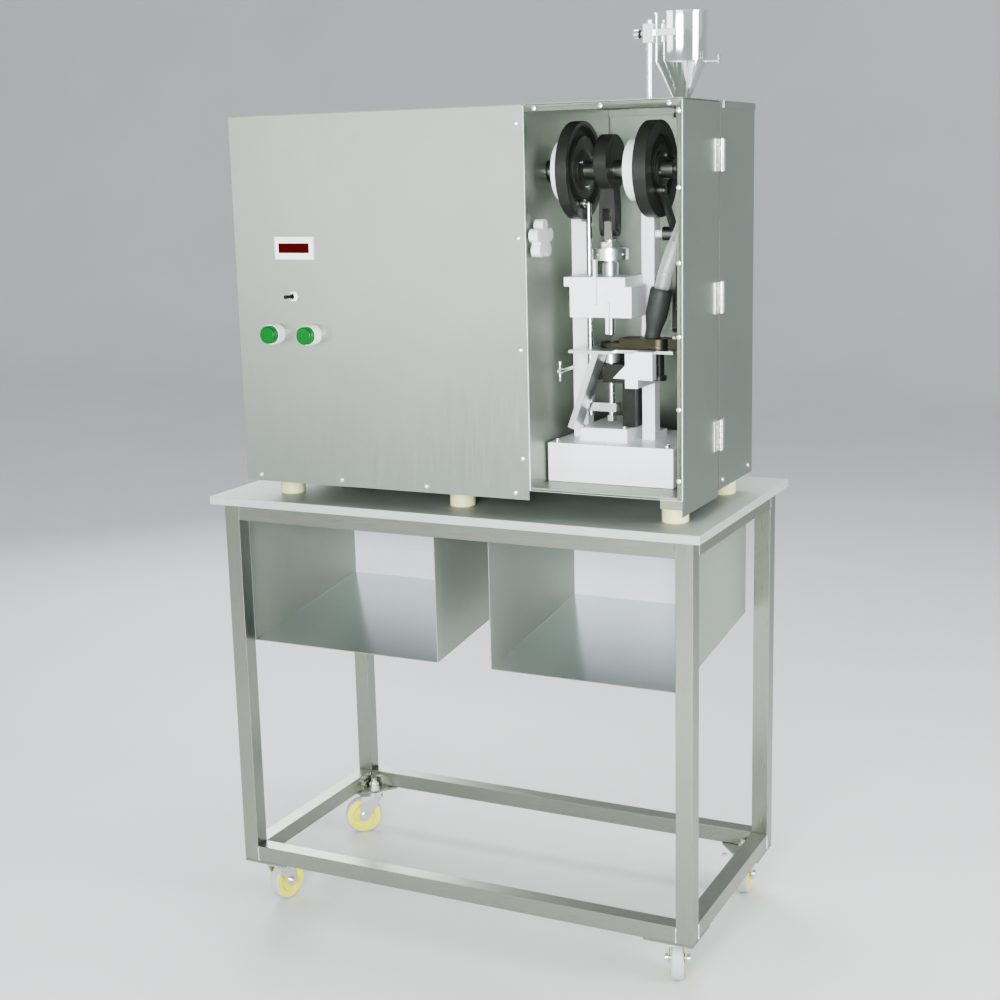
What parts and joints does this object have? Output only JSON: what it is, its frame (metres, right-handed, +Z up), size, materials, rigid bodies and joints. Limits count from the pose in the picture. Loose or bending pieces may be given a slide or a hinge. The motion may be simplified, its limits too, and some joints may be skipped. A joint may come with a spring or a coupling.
{
  "type": "single punch tablet press",
  "caption": "Single punch tablet press in a sheet steel cabinet with a clear hinged door and a top hopper, standing on a wheeled worktop trolley with open storage boxes.",
  "frame": {"origin": "centre of the bounding box on the floor under the casters", "axes": "+X to the operator's right, towards the door hinges; +Y to the back; +Z up"},
  "size_m": [0.925, 0.52, 1.592],
  "materials": {
    "satin_steel": "satin brushed",
    "frame_steel": "satin, polished edges",
    "bright_steel": "polished",
    "machined_steel": "machined",
    "dark_steel": "blackened, oiled",
    "white_enamel": "semi gloss",
    "motor_paint": "semi gloss",
    "bronze": "machined, dull",
    "acrylic": "clear",
    "nylon_foot": "smooth",
    "wheel_plastic": "moulded, grey tread",
    "white_plastic": "moulded",
    "green_plastic": "moulded",
    "black_plastic": "moulded",
    "dark_rubber": "moulded",
    "hose_plastic": "flexible"
  },
  "bodies": {
    "machine": {"trolley_legs": "frame_steel", "trolley_rails": "frame_steel", "corner_plates": "frame_steel", "worktop": "satin_steel", "storage_box_left": "satin_steel", "storage_box_right": "satin_steel", "caster_stems": "bright_steel", "cabinet_floor": "satin_steel", "cabinet_feet": "nylon_foot", "cabinet_shell": "satin_steel", "top_cover": "satin_steel", "front_panel": "satin_steel", "partition": "satin_steel", "right_side_panel": "satin_steel", "hinges_fixed": "bright_steel", "panel_screws": "bright_steel", "counter": "white_plastic", "control_collars": "white_plastic", "drive_motor": "motor_paint", "drive_belt": "dark_rubber", "machine_base": "white_enamel", "press_frame": "white_enamel", "guide_block": "white_enamel", "die_platform": "machined_steel", "hose_boot": "dark_rubber", "feed_hose": "hose_plastic", "tablet_chute": "satin_steel", "hopper": "bright_steel", "hopper_stand": "machined_steel", "cable_gland": "black_plastic"},
    "door": {"door_leaf": "satin_steel", "door_window": "acrylic", "hinges_door": "bright_steel", "door_screws": "bright_steel"},
    "shaft": {"main_shaft": "machined_steel", "lift_cam": "dark_steel", "feed_cam": "dark_steel", "main_pulley": "machined_steel"},
    "rod": {"con_rod": "dark_steel"},
    "ram": {"upper_ram": "machined_steel", "lock_ring": "machined_steel", "upper_punch": "machined_steel"},
    "lower_punch_rod": {"lower_ram": "machined_steel", "lift_rod": "machined_steel"},
    "lever": {"feed_lever": "machined_steel"},
    "shoe": {"feed_shoe": "bronze"},
    "motor_wheel": {"motor_pulley": "machined_steel"},
    "knob": {"clamp_knob": "white_plastic"},
    "toggle": {"toggle_lever": "black_plastic"},
    "start": {"start_button": "green_plastic"},
    "stop": {"stop_button": "green_plastic"},
    "gate": {"hopper_gate": "bright_steel"},
    "fork_fl": {"caster_fork_fl": "bright_steel"},
    "wheel_fl": {"caster_wheel_fl": "wheel_plastic"},
    "fork_fr": {"caster_fork_fr": "bright_steel"},
    "wheel_fr": {"caster_wheel_fr": "wheel_plastic"},
    "fork_bl": {"caster_fork_bl": "bright_steel"},
    "wheel_bl": {"caster_wheel_bl": "wheel_plastic"},
    "fork_br": {"caster_fork_br": "bright_steel"},
    "wheel_br": {"caster_wheel_br": "wheel_plastic"}
  },
  "joints": [
    {"name": "door_swing", "type": "hinge", "parent": "machine", "child": "door", "pos_m": [0.437, -0.051, 1.142], "axis": [0, 0, 1], "range_deg": [0, 115]},
    {"name": "gate_turn", "type": "hinge", "parent": "machine", "child": "gate", "pos_m": [0.39, -0.108, 1.517], "axis": [1, 0, 0], "range_deg": [0, 90]},
    {"name": "knob_turn", "type": "hinge", "parent": "machine", "child": "knob", "pos_m": [0.183, -0.192, 1.253], "axis": [1, 0, 0], "continuous": true},
    {"name": "main_shaft_turn", "type": "hinge", "parent": "machine", "child": "shaft", "pos_m": [0.275, -0.123, 1.358], "axis": [1, 0, 0], "range_deg": [0, 180]},
    {"name": "rod_swing", "type": "hinge", "parent": "shaft", "child": "rod", "pos_m": [0.275, -0.123, 1.37], "axis": [1, 0, 0], "range_deg": [-185, 5]},
    {"name": "ram_travel", "type": "slide", "parent": "machine", "child": "ram", "axis": [0, 0, 1], "range_m": [-0.02405, 0.0002]},
    {"name": "lower_punch_travel", "type": "slide", "parent": "machine", "child": "lower_punch_rod", "axis": [0, 0, 1], "range_m": [-0.01005, 0.0002]},
    {"name": "lever_swing", "type": "hinge", "parent": "machine", "child": "lever", "pos_m": [0.369, -0.078, 1.256], "axis": [1, 0, 0], "range_deg": [-0.2, 8.2]},
    {"name": "shoe_swing", "type": "hinge", "parent": "machine", "child": "shoe", "pos_m": [0.359, -0.128, 1.081], "axis": [0, 0, 1], "range_deg": [-0.5, 38.5]},
    {"name": "motor_turn", "type": "hinge", "parent": "machine", "child": "motor_wheel", "pos_m": [0.143, -0.068, 0.966], "axis": [1, 0, 0], "range_deg": [-5, 480]},
    {"name": "start_press", "type": "slide", "parent": "machine", "child": "start", "axis": [0, 1, 0], "range_m": [0, 0.0035], "stiffness_N_per_m": 400},
    {"name": "stop_press", "type": "slide", "parent": "machine", "child": "stop", "axis": [0, 1, 0], "range_m": [0, 0.0035], "stiffness_N_per_m": 400},
    {"name": "toggle_flip", "type": "hinge", "parent": "machine", "child": "toggle", "pos_m": [-0.261, -0.229, 1.16], "axis": [0, 0, 1], "range_deg": [0, 28]},
    {"name": "swivel_fl", "type": "hinge", "parent": "machine", "child": "fork_fl", "pos_m": [-0.403, -0.168, 0.086], "axis": [0, 0, 1], "continuous": true},
    {"name": "wheel_fl", "type": "hinge", "parent": "fork_fl", "child": "wheel_fl", "pos_m": [-0.39883, -0.14436, 0.0375], "axis": [-0.9848, 0.1736, 0], "continuous": true},
    {"name": "swivel_fr", "type": "hinge", "parent": "machine", "child": "fork_fr", "pos_m": [0.403, -0.168, 0.086], "axis": [0, 0, 1], "continuous": true},
    {"name": "wheel_fr", "type": "hinge", "parent": "fork_fr", "child": "wheel_fr", "pos_m": [0.39558, -0.14517, 0.0375], "axis": [-0.9511, -0.309, 0], "continuous": true},
    {"name": "swivel_bl", "type": "hinge", "parent": "machine", "child": "fork_bl", "pos_m": [-0.403, 0.198, 0.086], "axis": [0, 0, 1], "continuous": true},
    {"name": "wheel_bl", "type": "hinge", "parent": "fork_bl", "child": "wheel_bl", "pos_m": [-0.42266, 0.18423, 0.0375], "axis": [0.5736, -0.8192, 0], "continuous": true},
    {"name": "swivel_br", "type": "hinge", "parent": "machine", "child": "fork_br", "pos_m": [0.403, 0.198, 0.086], "axis": [0, 0, 1], "continuous": true},
    {"name": "wheel_br", "type": "hinge", "parent": "fork_br", "child": "wheel_br", "pos_m": [0.39883, 0.22163, 0.0375], "axis": [-0.9848, -0.1736, 0], "continuous": true}
  ],
  "couplings": [
    {"joint": "rod_swing", "follows": "main_shaft_turn", "ratio": -1},
    {"joint": "ram_travel", "follows": "main_shaft_turn", "m_per_rad": -0.0076394},
    {"joint": "lower_punch_travel", "follows": "main_shaft_turn", "m_per_rad": -0.0031831},
    {"joint": "lever_swing", "follows": "main_shaft_turn", "ratio": 0.044444},
    {"joint": "shoe_swing", "follows": "main_shaft_turn", "ratio": 0.21111},
    {"joint": "motor_turn", "follows": "main_shaft_turn", "ratio": 2.6471}
  ]
}
